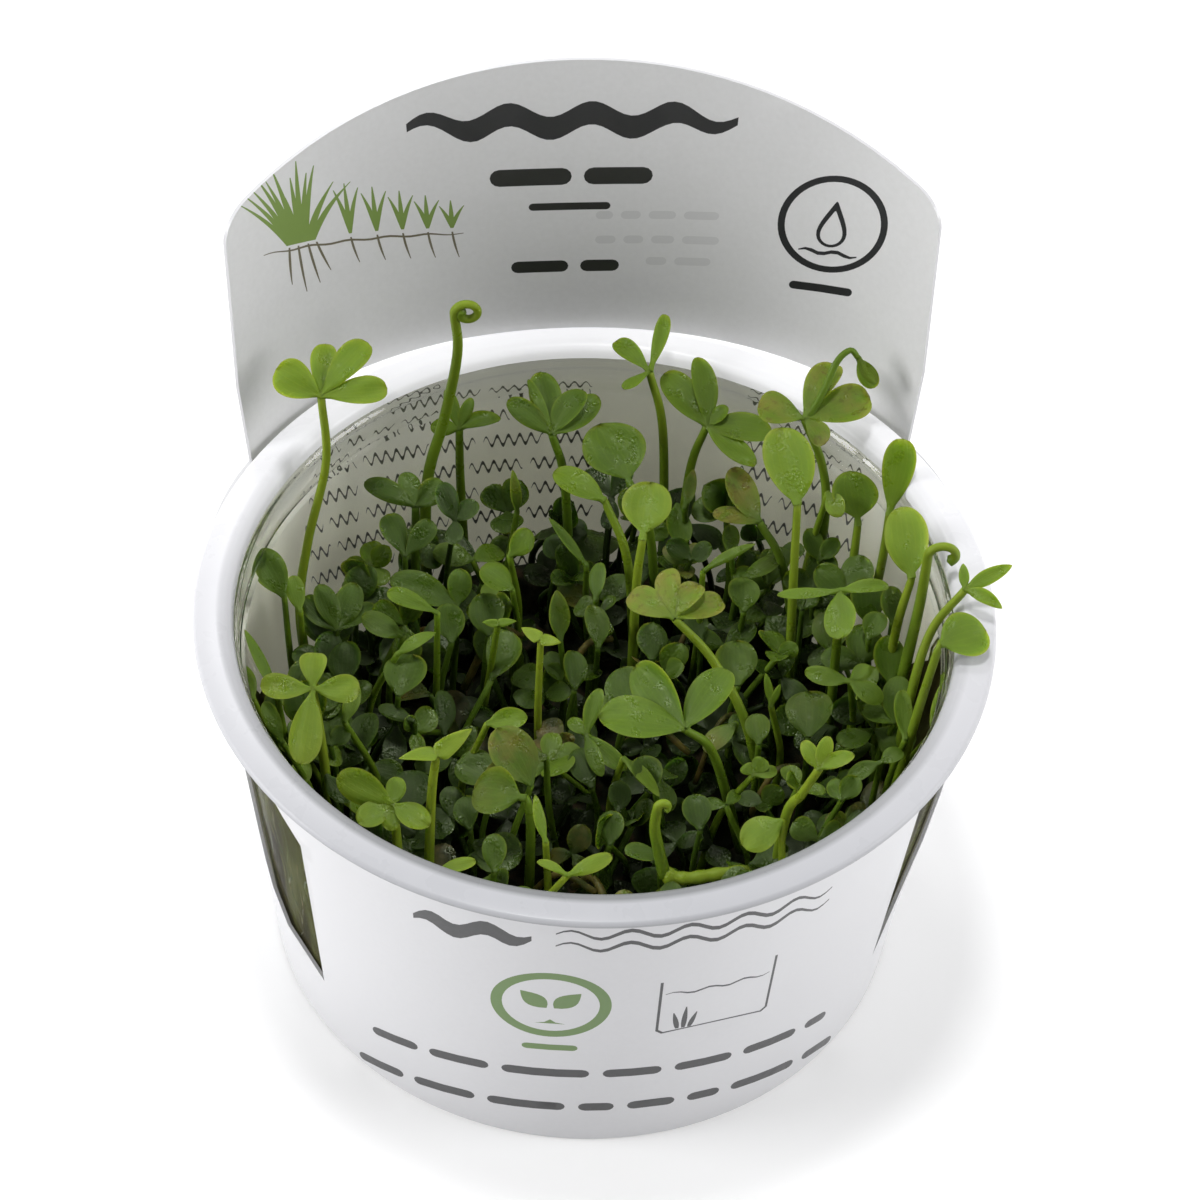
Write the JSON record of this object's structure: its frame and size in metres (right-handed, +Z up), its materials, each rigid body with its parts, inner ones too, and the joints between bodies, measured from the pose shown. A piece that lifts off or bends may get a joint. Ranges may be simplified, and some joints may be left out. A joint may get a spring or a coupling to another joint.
{
  "type": "potted water clover",
  "caption": "Water clover fern growing on nutrient jelly in a clear tapered cup, wrapped in a white card sleeve with side windows and a tall arched back panel.",
  "frame": {"origin": "middle of the cup's flat base, on the surface that it stands on", "axes": "+Z up; -Y is the front of the sleeve, so the tall back panel is on +Y; +X is to the right seen from the front"},
  "size_m": [0.0912, 0.0949, 0.088],
  "materials": {
    "clear_cup": "clear polished thin moulding",
    "card": "smooth coated white card, printed outside",
    "jelly": "wet translucent jelly",
    "undergrowth": "damp dark leaves",
    "leaf": "satin waxy leaf with fine veins",
    "stem": "satin smooth stalk",
    "crozier": "satin young frond",
    "rhizome": "fine brown hairs"
  },
  "bodies": {
    "root": {"crozier_front": "crozier", "crozier_left": "crozier", "crozier_right": "crozier", "cup": "clear_cup", "jelly": "jelly", "leaf_01": "leaf", "leaf_02": "leaf", "leaf_03": "leaf", "leaf_04": "leaf", "leaf_05": "leaf", "leaf_06": "leaf", "leaf_07": "leaf", "leaf_08": "leaf", "leaf_09": "leaf", "leaf_10": "leaf", "leaf_11": "leaf", "leaf_12": "leaf", "leaf_13": "leaf", "leaf_14": "leaf", "leaf_15": "leaf", "leaf_16": "leaf", "leaf_17": "leaf", "leaf_18": "leaf", "leaf_19": "leaf", "leaf_20": "leaf", "leaf_21": "leaf", "leaf_22": "leaf", "leaf_23": "leaf", "leaf_24": "leaf", "leaf_25": "leaf", "rhizome": "rhizome", "sleeve": "card", "stem_01": "stem", "stem_02": "stem", "stem_03": "stem", "stem_04": "stem", "stem_05": "stem", "stem_06": "stem", "stem_07": "stem", "stem_08": "stem", "stem_09": "stem", "stem_10": "stem", "stem_11": "stem", "stem_12": "stem", "stem_13": "stem", "stem_14": "stem", "stem_15": "stem", "stem_16": "stem", "stem_17": "stem", "stem_18": "stem", "stem_19": "stem", "stem_20": "stem", "stem_21": "stem", "stem_22": "stem", "stem_23": "stem", "stem_24": "stem", "stem_25": "stem", "undergrowth": "undergrowth"}
  },
  "joints": []
}
